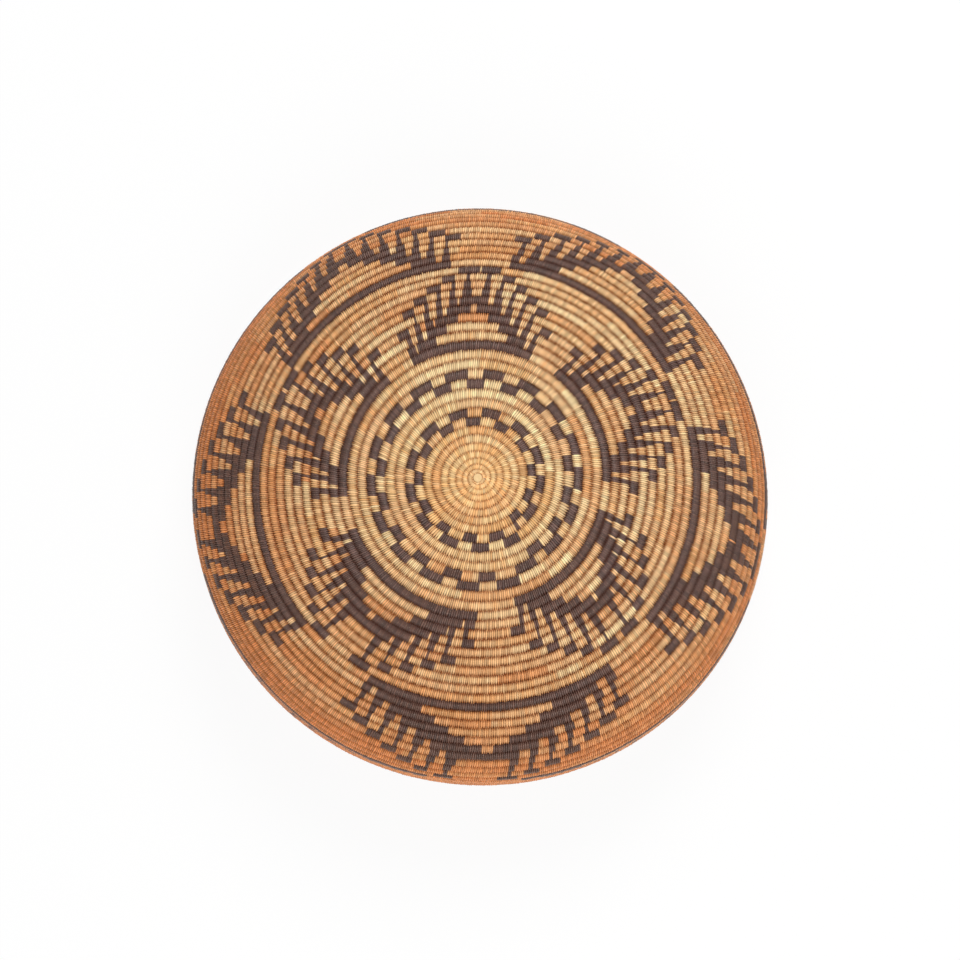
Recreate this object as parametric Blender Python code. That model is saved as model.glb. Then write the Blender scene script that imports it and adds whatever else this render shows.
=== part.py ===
"""A coiled palm basket: a deep round bowl sewn from one long spiral bundle.

The basket stands mouth down. The origin is at the centre of the mouth, in the
plane of the rim, and +Z points up to the flat base. The spiral runs
anticlockwise, seen from above the base, from a start knot to a rim coil whose
tail tapers so that the rim is level. Each course of the spiral is one object.

The meridian is the middle line of the wall from the centre of the base to the
rim: a flat disc, a shallow crown, a tighter shoulder and a straight wall.
"""

import math

import bmesh
import bpy

# Driving sizes of the wall's meridian, in metres
FLAT_BASE_RADIUS = 0.042
CROWN_RADIUS = 0.267
CROWN_LENGTH = 0.1638
SHOULDER_RADIUS = 0.0625
WALL_SLOPE = math.radians(84.0)
WALL_LENGTH = 0.078

# Driving sizes of the coil, in metres
COIL_PITCH = 0.0072
COIL_THICKNESS = 0.0078
START_COIL_WIDTH = 0.00265
START_COIL_THICKNESS = 0.0036
START_KNOT_RADIUS = 0.0026
COIL_GAP = 0.0003

# Shares of a course's own width and thickness
SIDE_FLAT_SHARE = 0.44
CREST_FLAT_SHARE = 0.42
TAIL_THICKNESS_SHARE = 0.6
TAIL_TURN_SHARE = 0.875
KNOT_FACE_SHARE = 0.86

# How finely a course is divided
STATIONS_PER_TURN = 24

# Courses of the pattern whose stitches are mostly dyed, counted from the knot
DYED_COURSES = (16, 26, 37)

# Base colour as linear RGB and roughness of each finish
FINISHES = {
    "natural_palm": ((0.47, 0.25, 0.085), 0.62),
    "dyed_palm": ((0.045, 0.022, 0.016), 0.55),
}

# Sizes that follow from the driving sizes
CROWN_SLOPE = CROWN_LENGTH / CROWN_RADIUS
SHOULDER_LENGTH = (WALL_SLOPE - CROWN_SLOPE) * SHOULDER_RADIUS
GROWTH_TURNS = 2.0 * (FLAT_BASE_RADIUS - START_KNOT_RADIUS) / (START_COIL_WIDTH + COIL_PITCH)
OUTER_TURNS = (CROWN_LENGTH + SHOULDER_LENGTH + WALL_LENGTH) / COIL_PITCH
COURSE_COUNT = round(GROWTH_TURNS + OUTER_TURNS)


def growth(turns):
    """Return how far the coil has grown to full size, from 0 at the knot to 1."""
    return min(max(turns / GROWTH_TURNS, 0.0), 1.0)


def seam_length(turns):
    """Return the meridian length from the base's centre to the seam after some turns."""
    growing = min(turns, GROWTH_TURNS)
    added_width = (COIL_PITCH - START_COIL_WIDTH) * growing**2 / (2.0 * GROWTH_TURNS)
    full = max(turns - GROWTH_TURNS, 0.0)
    return START_KNOT_RADIUS + START_COIL_WIDTH * growing + added_width + COIL_PITCH * full


def meridian(length):
    """Return radius, depth below the base and slope at a length along the meridian."""
    flat = min(length, FLAT_BASE_RADIUS)
    crown = min(max(length - FLAT_BASE_RADIUS, 0.0), CROWN_LENGTH)
    beyond_crown = max(length - FLAT_BASE_RADIUS - CROWN_LENGTH, 0.0)
    shoulder = min(beyond_crown, SHOULDER_LENGTH)
    wall = beyond_crown - shoulder
    crown_slope = crown / CROWN_RADIUS
    slope = crown_slope + shoulder / SHOULDER_RADIUS
    radius = flat + CROWN_RADIUS * math.sin(crown_slope)
    radius += SHOULDER_RADIUS * (math.sin(slope) - math.sin(crown_slope))
    radius += wall * math.cos(slope)
    depth = CROWN_RADIUS * (1.0 - math.cos(crown_slope))
    depth += SHOULDER_RADIUS * (math.cos(crown_slope) - math.cos(slope))
    depth += wall * math.sin(slope)
    return radius, depth, slope


MERIDIAN_HEIGHT = meridian(seam_length(COURSE_COUNT))[1]


def wall_point(length, outward):
    """Return radius and height of a point that lies off the meridian by outward."""
    radius, depth, slope = meridian(length)
    return radius + outward * math.sin(slope), MERIDIAN_HEIGHT - depth + outward * math.cos(slope)


def coil_section(inner_turns, outer_turns, at_rim):
    """Return the eight points of a course's section as (radius, height) pairs.

    The two sides lie on the seams, each half a gap back from it, so that
    neighbours face each other squarely. The outer face is flush with the
    full-size coil's, and a side at the rim is level with the mouth.
    """
    middle_turns = 0.5 * (inner_turns + outer_turns)
    inner = seam_length(inner_turns) + 0.5 * COIL_GAP
    outer = seam_length(outer_turns) - (0.0 if at_rim else 0.5 * COIL_GAP)
    share_grown = growth(middle_turns)
    thickness = START_COIL_THICKNESS + (COIL_THICKNESS - START_COIL_THICKNESS) * share_grown
    if at_rim:
        width_share = (outer - inner) / COIL_PITCH
        thickness *= TAIL_THICKNESS_SHARE + (1.0 - TAIL_THICKNESS_SHARE) * width_share
    flush = 0.5 * (COIL_THICKNESS - thickness)
    side = 0.5 * thickness * SIDE_FLAT_SHARE
    crest = 0.5 * (outer - inner) * CREST_FLAT_SHARE
    middle = 0.5 * (inner + outer)
    corners = [
        (inner, -side),
        (inner, side),
        (middle - crest, 0.5 * thickness),
        (middle + crest, 0.5 * thickness),
        (outer, side),
        (outer, -side),
        (middle + crest, -0.5 * thickness),
        (middle - crest, -0.5 * thickness),
    ]
    points = [wall_point(length, outward + flush) for length, outward in corners]
    if at_rim:
        points = [(r, 0.0) if length == outer else (r, z)
                  for (r, z), (length, _) in zip(points, corners)]
    return points


def make_material(name):
    """Make the Principled material of a finish, or return it if it is there."""
    if name in bpy.data.materials:
        return bpy.data.materials[name]
    color, roughness = FINISHES[name]
    material = bpy.data.materials.new(name)
    material.use_nodes = True
    shader = material.node_tree.nodes["Principled BSDF"]
    shader.inputs["Base Color"].default_value = (*color, 1.0)
    shader.inputs["Roughness"].default_value = roughness
    shader.inputs["Metallic"].default_value = 0.0
    material.diffuse_color = (*color, 1.0)
    return material


def add_loft(name, rings, finish):
    """Join rings of points with faces, cap both ends and add the object."""
    shape = bmesh.new()
    loops = [[shape.verts.new(point) for point in ring] for ring in rings]
    count = len(loops[0])
    for near, far in zip(loops, loops[1:]):
        for i in range(count):
            j = (i + 1) % count
            shape.faces.new((near[i], near[j], far[j], far[i]))
    shape.faces.new(loops[0])
    shape.faces.new(loops[-1])
    bmesh.ops.recalc_face_normals(shape, faces=shape.faces)
    mesh = bpy.data.meshes.new(name)
    shape.to_mesh(mesh)
    shape.free()
    mesh.materials.append(make_material(finish))
    part = bpy.data.objects.new(name, mesh)
    bpy.context.scene.collection.objects.link(part)
    return part


def place(radius, height, turns):
    """Return the point at a radius and height, turned by some turns about +Z."""
    angle = math.tau * turns
    return radius * math.cos(angle), radius * math.sin(angle), height


def end_clearance(turns):
    """Return the turns that half a gap takes up where two lengths of coil meet."""
    return math.asin(0.5 * COIL_GAP / meridian(seam_length(turns))[0]) / math.tau


def course_stations(course):
    """Return where, in turns from the knot, each section of a course lies."""
    is_rim = course == COURSE_COUNT - 1
    share = TAIL_TURN_SHARE if is_rim else 1.0
    steps = round(STATIONS_PER_TURN * share)
    first = course + end_clearance(course)
    last = course + share - end_clearance(course + share)
    between = [course + step / STATIONS_PER_TURN for step in range(1, steps)]
    return [first, *between, last]


def add_course(course):
    """Add one course of the spiral; the last one is the rim coil."""
    is_rim = course == COURSE_COUNT - 1
    rings = []
    for turns in course_stations(course):
        outer_turns = COURSE_COUNT if is_rim else turns + 1.0
        section = coil_section(turns, outer_turns, is_rim)
        rings.append([place(radius, height, turns) for radius, height in section])
    name = "rim_coil" if is_rim else f"coil_{course + 1:02d}"
    finish = "dyed_palm" if course + 1 in DYED_COURSES else "natural_palm"
    return add_loft(name, rings, finish)


def add_start_knot():
    """Add the snail-shaped knot at the base's centre that the first course winds round."""
    top = MERIDIAN_HEIGHT + 0.5 * COIL_THICKNESS
    side = START_COIL_THICKNESS * SIDE_FLAT_SHARE
    chamfer = 0.5 * (START_COIL_THICKNESS - side)
    levels = [
        (top - START_COIL_THICKNESS, KNOT_FACE_SHARE),
        (top - START_COIL_THICKNESS + chamfer, 1.0),
        (top - chamfer, 1.0),
        (top, KNOT_FACE_SHARE),
    ]
    steps = range(STATIONS_PER_TURN)
    outline = [(seam_length(step / STATIONS_PER_TURN), step / STATIONS_PER_TURN) for step in steps]
    outline.append((seam_length(1.0), 1.0 - end_clearance(0.0)))
    rings = []
    for height, share in levels:
        ring = [place((length - 0.5 * COIL_GAP) * share, height, turns) for length, turns in outline]
        rings.append(ring)
    return add_loft("start_knot", rings, "natural_palm")


def main():
    """Empty the scene and build the basket from its knot to its rim."""
    for item in list(bpy.data.objects):
        bpy.data.objects.remove(item, do_unlink=True)
    add_start_knot()
    for course in range(COURSE_COUNT):
        add_course(course)


main()
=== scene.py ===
"""Looks of a coiled palm basket: every sewn stitch, its dyed pattern and a plain studio.

The basket stands mouth down on a white floor and is seen from above its flat
base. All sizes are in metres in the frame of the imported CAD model, whose spiral
the stitched coil follows course by course. Angles of the pattern are degrees,
anticlockwise as seen from above, and a row of the pattern is one turn of the
spiral that starts at the row's own start angle.
"""

import logging
import math
from dataclasses import dataclass, field
from enum import Enum, IntEnum

import bpy
import numpy as np
from mathutils import Matrix, Vector


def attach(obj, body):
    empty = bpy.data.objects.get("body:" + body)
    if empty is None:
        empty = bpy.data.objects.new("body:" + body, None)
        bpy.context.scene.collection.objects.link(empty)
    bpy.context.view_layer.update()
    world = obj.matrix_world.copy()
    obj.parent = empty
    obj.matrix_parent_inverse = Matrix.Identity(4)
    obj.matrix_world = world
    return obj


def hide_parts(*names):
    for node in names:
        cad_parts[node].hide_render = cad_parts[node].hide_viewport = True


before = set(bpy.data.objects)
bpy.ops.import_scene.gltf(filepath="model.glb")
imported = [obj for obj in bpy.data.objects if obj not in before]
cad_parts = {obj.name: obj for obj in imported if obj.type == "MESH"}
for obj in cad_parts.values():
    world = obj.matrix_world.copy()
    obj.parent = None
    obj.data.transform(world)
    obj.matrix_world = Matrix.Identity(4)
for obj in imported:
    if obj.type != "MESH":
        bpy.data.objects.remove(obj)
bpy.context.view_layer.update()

log = logging.getLogger("coiled_basket")

FULL_TURN = 360.0


class Palm(Enum):
    """Which palm a stitch is sewn with."""

    NATURAL = "natural_palm"
    DYED = "dyed_palm"


class Seed(IntEnum):
    """First seed of each kind of random draw, so that each run makes the same basket.

    A turn adds its number to it, and the curl round the knot adds CURL.
    """

    SEAM = 21
    LEAN = 27
    WIDTHS = 120
    STITCHES = 2020
    STRIPS = 4020
    TONES = 4120
    CURL = 500


# Tools shared by all the sub-assemblies


def linear(hex_colour: str) -> tuple[float, float, float, float]:
    """Turn an sRGB hex colour into linear RGBA.

    Args:
        hex_colour: Six hex digits, with or without a leading hash.

    Returns:
        Linear red, green and blue, and an alpha of one.
    """
    digits = hex_colour.lstrip("#")
    coded = [int(digits[i:i + 2], 16) / 255.0 for i in (0, 2, 4)]
    light = [c / 12.92 if c <= 0.04045 else ((c + 0.055) / 1.055) ** 2.4 for c in coded]
    return light[0], light[1], light[2], 1.0


def add_node(tree: bpy.types.NodeTree, kind: str, inputs: dict | None = None,
             **settings: object) -> bpy.types.Node:
    """Add a shader node with its settings, values and links.

    Args:
        tree: Node tree that the node goes into.
        kind: Blender's name of the node's type.
        inputs: Value, or output socket to link, for each input by name or number.
        **settings: Properties of the node itself.

    Returns:
        The new node.
    """
    node = tree.nodes.new(kind)
    for name, value in settings.items():
        setattr(node, name, value)
    for socket, value in (inputs or {}).items():
        if isinstance(value, bpy.types.NodeSocket):
            tree.links.new(value, node.inputs[socket])
        else:
            node.inputs[socket].default_value = value
    return node


def empty_tree(owner: bpy.types.Material | bpy.types.World) -> bpy.types.NodeTree:
    """Make an owner use nodes, and take out the ones that it starts with.

    Args:
        owner: Material or world.

    Returns:
        Its node tree, with nothing in it.
    """
    owner.use_nodes = True
    owner.node_tree.nodes.clear()
    return owner.node_tree


def seen_rays(tree: bpy.types.NodeTree) -> bpy.types.NodeSocket:
    """Add the test for what the camera sees itself, in gloss or through glass.

    Args:
        tree: Node tree that the nodes go into.

    Returns:
        Socket that is one for those rays and zero for all the others.
    """
    path = add_node(tree, "ShaderNodeLightPath")
    seen = path.outputs["Is Camera Ray"]
    for ray in ("Is Glossy Ray", "Is Transmission Ray"):
        seen = add_node(tree, "ShaderNodeMath", {0: seen, 1: path.outputs[ray]},
                        operation="MAXIMUM").outputs[0]
    return seen


def add_object(name: str, data: bpy.types.ID) -> bpy.types.Object:
    """Make an object and link it to the scene.

    Args:
        name: Name of the object.
        data: Its mesh, lamp or camera.

    Returns:
        The new object.
    """
    item = bpy.data.objects.new(name, data)
    bpy.context.scene.collection.objects.link(item)
    return item


def write_palm(mesh: bpy.types.Mesh, strip: np.ndarray, tone: np.ndarray) -> None:
    """Write the two attributes that the palm finishes read.

    Args:
        mesh: Mesh that gets them.
        strip: Place across and along the strip, how clear of a slit and how near a
            seam each corner is.
        tone: Depth, flush and seed of each face.
    """
    strips = mesh.attributes.new("strip", "FLOAT_COLOR", "CORNER")
    strips.data.foreach_set("color", strip.astype(np.float32).ravel())
    tones = mesh.attributes.new("tone", "FLOAT_VECTOR", "FACE")
    tones.data.foreach_set("vector", tone.astype(np.float32).ravel())


def smooth_noise(place: np.ndarray, spacing: float, seed: int) -> np.ndarray:
    """Return smooth random values between about -1 and 1 along a line.

    Args:
        place: Places on the line.
        spacing: Distance between the random values that are joined smoothly.
        seed: Seed of the random values.

    Returns:
        One value for each place.
    """
    step = np.asarray(place) / spacing
    first = np.floor(step).astype(int)
    low = int(first.min())
    values = np.random.default_rng(seed).uniform(-1.0, 1.0, int(first.max()) - low + 2)
    share = step - first
    share = share * share * (3.0 - 2.0 * share)
    return values[first - low] * (1.0 - share) + values[first - low + 1] * share


def grown_from(share: float, growth: np.ndarray) -> np.ndarray:
    """Return a share that holds at the knot and becomes one where the coil is full-grown."""
    return share + (1.0 - share) * growth


# The pattern, as rows of dyed stitches


@dataclass(frozen=True)
class CheckerRow:
    """One row of a checker border: dyed blocks at an even spacing that drifts a little."""

    row: int
    row_start: float
    row_end: float
    first_block: float
    spacing: float
    block: float
    drift: float
    drift_peak: float

    def dyed(self, row: int, angle: np.ndarray) -> np.ndarray:
        """Say which stitches of a row are dyed.

        Args:
            row: Row of the pattern.
            angle: Row angle of each stitch.

        Returns:
            True for each dyed stitch.
        """
        if row != self.row:
            return np.zeros(angle.shape, bool)
        drift = self.drift * (0.5 + 0.5 * np.cos(np.radians(angle - self.drift_peak)))
        return np.mod(angle - drift - self.first_block, self.spacing) < self.block


@dataclass(frozen=True)
class Hook:
    """Sizes in degrees of a tier's hooked posts, by row above their band."""

    posts: int
    short_first: bool
    widths: tuple[float, ...]
    cap: float
    cap_taper: float
    overlap: float
    top_inward: float

    def rows_high(self, post: int) -> int:
        """Return the rows that a post takes up with its cap."""
        return len(self.widths) + (0 if self.short_first and post == 0 else 1)


@dataclass(frozen=True)
class Wing:
    """One side of a motif, in degrees: its first post, the step to each next one, and its band.

    The band shortens by the taper on each row, posts lean by an angle per row, and a
    gap keeps the right band clear of its post.
    """

    post: float
    step: float
    band: float
    taper: float = 0.0
    lean: float = 0.0
    gap: float = 0.0

    def start(self, post: int, height: int = 1) -> float:
        """Return the angle at which a post begins, at a height above the band."""
        return self.post + self.step * post + self.lean * (height - 1)

    def band_at(self, row: int) -> float:
        """Return the band's length on a row above the base bar."""
        return self.band - self.taper * (row - 1)


@dataclass(frozen=True)
class WingedMotif:
    """A dyed base bar with two stepped bands that lean together, and rows of hooked posts.

    Each side has posts a fixed step apart. A post rises from the band for three
    rows and ends in a cap that points away from the motif's middle. The foot of the
    last post on the right reaches to the foot inset from the bar's end.
    """

    bar_start: float
    bar_end: float
    left: Wing
    right: Wing
    foot_inset: float = 0.4

    def bands(self, row: int) -> list[tuple[float, float]]:
        """Find the two stepped bands on a row.

        Args:
            row: Row above the base bar.

        Returns:
            The span of each band, or nothing above the row on which they meet.
        """
        low, high = self.left.start(row), self.right.start(row - 1) - self.right.gap
        if low >= high:
            return []
        return [(low, min(low + self.left.band_at(row), high)),
                (max(high - self.right.band_at(row), low), high)]

    def posts(self, post: int, height: int, row: int, hook: Hook) -> list[tuple[float, float]]:
        """Return the spans of a pair of posts at a height above their band.

        Args:
            post: Number of the pair, counted from the motif's ends.
            height: Rows above the band, from 1 at the foot to the cap's row.
            row: Row above the base bar.
            hook: Sizes of the posts and caps.

        Returns:
            The span of the left post and of the right one.
        """
        left, right = self.left.start(post, height), self.right.start(post, height)
        if height <= len(hook.widths):
            width = hook.widths[height - 1]
            foot = max(width, self.bar_end - self.foot_inset - right) if row == 1 else width
            return [(left, left + width), (right, right + foot)]
        length = hook.cap - hook.cap_taper * row
        inward = hook.top_inward if post == hook.posts - 1 else 0.0
        return [(left + hook.overlap - length, left + hook.overlap + inward),
                (right - hook.overlap - inward, right - hook.overlap + length)]

    def dyed(self, row: int, angle: np.ndarray, hook: Hook) -> np.ndarray:
        """Say which stitches of one row belong to the motif.

        Args:
            row: Row above the base bar, which is row 0.
            angle: Row angle of each stitch.
            hook: Sizes of the posts and caps.

        Returns:
            True for each dyed stitch.
        """
        spans = [(self.bar_start, self.bar_end)] if row == 0 else []
        if 0 < row < hook.posts:
            spans += self.bands(row)
        for post in range(hook.posts):
            height, top = row - post, hook.rows_high(post)
            if 1 <= height <= top:
                height = len(hook.widths) + 1 if height == top else height
                spans += self.posts(post, height, row, hook)
        mask = np.zeros(angle.shape, bool)
        for low, high in spans:
            mask |= (angle > low) & (angle < high)
        return mask


@dataclass(frozen=True)
class Tier:
    """A ring of winged motifs that stand on the same row."""

    row: int
    row_start: float
    hook: Hook
    motifs: tuple[WingedMotif, ...]

    @property
    def row_end(self) -> float:
        """Row angle at which each row of the tier ends."""
        return self.row_start + FULL_TURN

    def dyed(self, row: int, angle: np.ndarray) -> np.ndarray:
        """Say which stitches of a row are dyed.

        Args:
            row: Row of the pattern.
            angle: Row angle of each stitch.

        Returns:
            True for each dyed stitch.
        """
        mask = np.zeros(angle.shape, bool)
        above = row - self.row
        if 0 <= above <= self.hook.posts + len(self.hook.widths):
            for motif in self.motifs:
                mask |= motif.dyed(above, angle, self.hook)
        return mask


LOW_HOOK = Hook(posts=6, short_first=True, widths=(2.5, 1.8, 1.0), cap=5.0, cap_taper=0.18,
                overlap=0.4, top_inward=2.0)
HIGH_HOOK = Hook(posts=7, short_first=False, widths=(2.1, 1.4, 0.8), cap=4.6, cap_taper=0.19,
                 overlap=0.8, top_inward=1.2)

# From the knot outward: two rings of two checker rows each, and three rings of five motifs,
# each with its bar's start and end, its left wing and its right one
BORDERS: tuple[CheckerRow | Tier, ...] = (
    CheckerRow(7, -54.1, 311.7, 1.0, 27.7, 14.2, 7.2, 193.0),
    CheckerRow(8, -46.4, 305.9, 13.2, 27.5, 15.6, 6.9, 191.0),
    CheckerRow(11, -59.9, 289.4, -57.2, 20.43, 10.2, 1.5, 208.0),
    CheckerRow(12, -67.7, 292.5, -68.2, 20.42, 12.2, 1.3, 205.0),
    Tier(15, -82.0, LOW_HOOK, (
        WingedMotif(-73.2, -14.9, Wing(-73.3, 4.35, 9.8),
                    Wing(-18.0, -5.36, 9.9, lean=0.1, gap=1.2)),
        WingedMotif(-2.3, 53.1, Wing(-2.4, 4.27, 7.6, lean=0.1),
                    Wing(49.4, -4.96, 7.9, lean=0.1, gap=1.3)),
        WingedMotif(66.2, 119.7, Wing(66.4, 3.96, 7.7, lean=0.1),
                    Wing(115.8, -4.74, 7.8, gap=1.2)),
        WingedMotif(132.1, 188.1, Wing(132.2, 4.02, 8.1, lean=-0.1),
                    Wing(184.3, -5.24, 8.0, lean=-0.1, gap=1.1)),
        WingedMotif(203.0, 269.7, Wing(203.0, 4.27, 11.4, lean=-0.1),
                    Wing(265.4, -5.62, 13.5, lean=-0.1, gap=1.1)),
    )),
    Tier(25, -48.0, HIGH_HOOK, (
        WingedMotif(-39.6, 14.0, Wing(-39.5, 3.78, 9.8, taper=0.6, lean=0.1),
                    Wing(11.7, -4.04, 8.4, taper=0.4, gap=1.4)),
        WingedMotif(29.7, 81.6, Wing(29.9, 3.41, 7.0, taper=0.1, lean=0.2),
                    Wing(79.3, -4.11, 9.1, taper=1.0, lean=-0.1, gap=1.3)),
        WingedMotif(97.0, 148.6, Wing(97.4, 3.47, 6.8, taper=0.1),
                    Wing(146.3, -3.91, 7.0, taper=0.2, lean=-0.4, gap=1.1)),
        WingedMotif(162.1, 220.0, Wing(162.3, 3.62, 8.6, taper=0.2, lean=-0.2),
                    Wing(217.4, -4.36, 10.0, taper=0.4, lean=-0.4, gap=1.0)),
        WingedMotif(241.1, 305.5, Wing(240.7, 3.69, 11.5, taper=0.1, lean=-0.1),
                    Wing(302.5, -4.41, 11.8, taper=0.5, lean=-0.2, gap=2.3)),
    )),
    Tier(36, -17.0, HIGH_HOOK, (
        WingedMotif(-7.7, 47.0, Wing(-7.5, 3.75, 7.4, lean=0.1),
                    Wing(44.6, -3.9, 7.3, gap=1.3)),
        WingedMotif(60.5, 114.0, Wing(60.7, 3.48, 7.1),
                    Wing(111.4, -3.86, 7.1, lean=-0.2, gap=1.1)),
        WingedMotif(128.4, 184.6, Wing(128.3, 3.49, 7.8, lean=-0.1),
                    Wing(181.8, -4.3, 8.0, lean=-0.4, gap=1.1)),
        WingedMotif(196.7, 259.6, Wing(196.6, 3.78, 9.4, lean=-0.1),
                    Wing(256.9, -4.57, 9.4, lean=-0.3, gap=1.2)),
        WingedMotif(278.3, 338.2, Wing(278.3, 3.89, 8.3),
                    Wing(335.6, -4.26, 8.2, lean=-0.2, gap=1.3)),
    )),
)


def pattern(course: int, angle: np.ndarray) -> np.ndarray:
    """Say which stitches of a course are dyed.

    Args:
        course: Turn of the spiral, counted from the knot.
        angle: Angle of each stitch, from 0 to 360 degrees.

    Returns:
        True for each dyed stitch.
    """
    mask = np.zeros(angle.shape, bool)
    for border in BORDERS:
        mask |= (angle < border.row_end) & border.dyed(course, angle)
        early = angle - FULL_TURN
        mask |= (early >= border.row_start) & border.dyed(course + 1, early)
    return mask


# The wall's shape


@dataclass(frozen=True)
class Drift:
    """One slow unevenness of the handmade wall, strongest at one turn of the coil.

    With no waves it widens the ring, with one it shifts it sideways, and with
    two to four it makes it oval or gives it as many soft corners.
    """

    waves: int
    phase: float
    turn: float
    spread: float
    amount: float


DRIFTS = (
    Drift(0, 0.0, 6.0, 2.5, 0.0015),
    Drift(0, 0.0, 33.0, 3.0, -0.0004),
    Drift(0, 0.0, 47.0, 7.0, 0.0004),
    Drift(1, -60.0, 0.0, 8.0, 0.0012),
    Drift(1, -60.0, 14.0, 14.0, 0.0007),
    Drift(1, 100.0, 21.0, 6.0, 0.0013),
    Drift(1, 0.0, 31.0, 4.0, 0.0013),
    Drift(1, -90.0, 36.0, 4.0, 0.0022),
    Drift(1, -30.0, 38.0, 10.0, 0.0007),
    Drift(2, 90.0, 17.0, 6.0, 0.0007),
    Drift(2, 125.0, 38.0, 8.0, 0.0012),
    Drift(2, 0.0, 47.0, 7.0, 0.0005),
    Drift(3, 60.0, 17.0, 8.0, 0.0005),
    Drift(3, 80.0, 45.0, 11.0, 0.0009),
    Drift(4, 45.0, 29.0, 5.0, 0.0005),
)


@dataclass(frozen=True)
class Wave:
    """Soft dents round the crown: their number, share, phase, and twist in radians per metre."""

    count: float
    share: float
    phase: float
    twist: float


@dataclass(frozen=True)
class Wall:
    """The wall's meridian and spiral seams, the same as the CAD model's, made uneven by hand."""

    flat_base_radius: float = 0.042
    crown_radius: float = 0.267
    crown_length: float = 0.1638
    shoulder_radius: float = 0.0625
    wall_slope: float = math.radians(84.0)
    wall_length: float = 0.078
    coil_pitch: float = 0.0072
    coil_thickness: float = 0.0078
    start_coil_width: float = 0.00265
    start_coil_thickness: float = 0.0036
    start_knot_radius: float = 0.0026
    tail_turns: float = 0.875
    tail_thickness_share: float = 0.6
    samples_per_turn: int = 50
    seam_sway: float = 0.00025
    seam_sway_spacing: float = 0.9
    start_sway_share: float = 0.3
    calm_rows: float = 3.0
    surface_sway: float = 0.0005
    surface_waves: tuple[Wave, ...] = (Wave(2.0, 1.0, 0.6, 30.0), Wave(3.0, 0.7, 2.1, 0.0),
                                       Wave(5.0, 0.5, 4.0, -44.0))
    drifts: tuple[Drift, ...] = DRIFTS

    @property
    def crown_slope(self) -> float:
        """Slope in radians where the crown meets the shoulder."""
        return self.crown_length / self.crown_radius

    @property
    def shoulder_length(self) -> float:
        """Length of the shoulder along the meridian."""
        return (self.wall_slope - self.crown_slope) * self.shoulder_radius

    @property
    def growth_turns(self) -> float:
        """Turns that the coil takes to grow to its full size."""
        spread = self.flat_base_radius - self.start_knot_radius
        return 2.0 * spread / (self.start_coil_width + self.coil_pitch)

    @property
    def course_count(self) -> int:
        """Number of turns of the spiral."""
        outer = self.crown_length + self.shoulder_length + self.wall_length
        return round(self.growth_turns + outer / self.coil_pitch)

    @property
    def end_length(self) -> float:
        """Length along the meridian from the base's centre to the rim."""
        return float(self.seam_length(np.array(float(self.course_count))))

    @property
    def height(self) -> float:
        """Height of the meridian above the rim."""
        return float(self.meridian(np.array(self.end_length))[1])

    def seam_length(self, turns: np.ndarray) -> np.ndarray:
        """Find the even seam, whose spacing grows from the knot and then stays the same.

        Args:
            turns: Turns from the knot.

        Returns:
            Length along the meridian from the base's centre to the seam.
        """
        growing = np.minimum(turns, self.growth_turns)
        added = (self.coil_pitch - self.start_coil_width) * growing**2 / (2.0 * self.growth_turns)
        full = np.maximum(turns - self.growth_turns, 0.0)
        return (self.start_knot_radius + self.start_coil_width * growing + added
                + self.coil_pitch * full)

    def meridian(self, length: np.ndarray) -> tuple[np.ndarray, np.ndarray, np.ndarray]:
        """Follow the meridian over the flat base, the crown, the shoulder and the wall.

        Args:
            length: Length along it from the base's centre.

        Returns:
            Radius, depth below the base and slope in radians.
        """
        flat = np.minimum(length, self.flat_base_radius)
        crown = np.clip(length - self.flat_base_radius, 0.0, self.crown_length)
        beyond = np.maximum(length - self.flat_base_radius - self.crown_length, 0.0)
        shoulder = np.minimum(beyond, self.shoulder_length)
        wall = beyond - shoulder
        bend = crown / self.crown_radius
        slope = bend + shoulder / self.shoulder_radius
        radius = (flat + self.crown_radius * np.sin(bend)
                  + self.shoulder_radius * (np.sin(slope) - np.sin(bend)) + wall * np.cos(slope))
        depth = (self.crown_radius * (1.0 - np.cos(bend))
                 + self.shoulder_radius * (np.cos(bend) - np.cos(slope)) + wall * np.sin(slope))
        return radius, depth, slope

    def seam(self, turns: np.ndarray) -> np.ndarray:
        """Find the handmade seam: the even one with a slow sway that the rim doesn't have.

        Args:
            turns: Turns from the knot.

        Returns:
            Length along the meridian from the base's centre to the seam.
        """
        even = self.seam_length(turns)
        calm = np.clip((self.end_length - even) / (self.calm_rows * self.coil_pitch), 0.0, 1.0)
        growth = np.clip(turns / self.growth_turns, 0.0, 1.0)
        sway = smooth_noise(turns * (1.0 + turns), self.seam_sway_spacing, Seed.SEAM)
        return even + self.seam_sway * sway * calm * grown_from(self.start_sway_share, growth)

    def turns_at(self, length: np.ndarray) -> np.ndarray:
        """Return how many turns of the coil lie inside a length along the meridian."""
        turns = np.linspace(0.0, self.course_count, self.samples_per_turn * self.course_count)
        return np.interp(length, self.seam_length(turns), turns)

    def drift(self, length: np.ndarray, angle: np.ndarray) -> np.ndarray:
        """Add up the drifts of the handmade wall.

        Args:
            length: Length along the meridian of each point.
            angle: Angle about +Z of each point, in radians.

        Returns:
            How far the points lie off the even wall, along x and along y.
        """
        turns = self.turns_at(length)
        away = np.stack([np.cos(angle), np.sin(angle)])
        shift = np.zeros_like(away)
        for drift in self.drifts:
            phase = math.radians(drift.phase)
            amount = drift.amount * np.exp(-((turns - drift.turn) / drift.spread) ** 2)
            if drift.waves == 1:
                shift += np.stack([amount * math.cos(phase), amount * math.sin(phase)])
            else:
                shift += amount * np.cos(drift.waves * (angle - phase)) * away
        return shift

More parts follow.
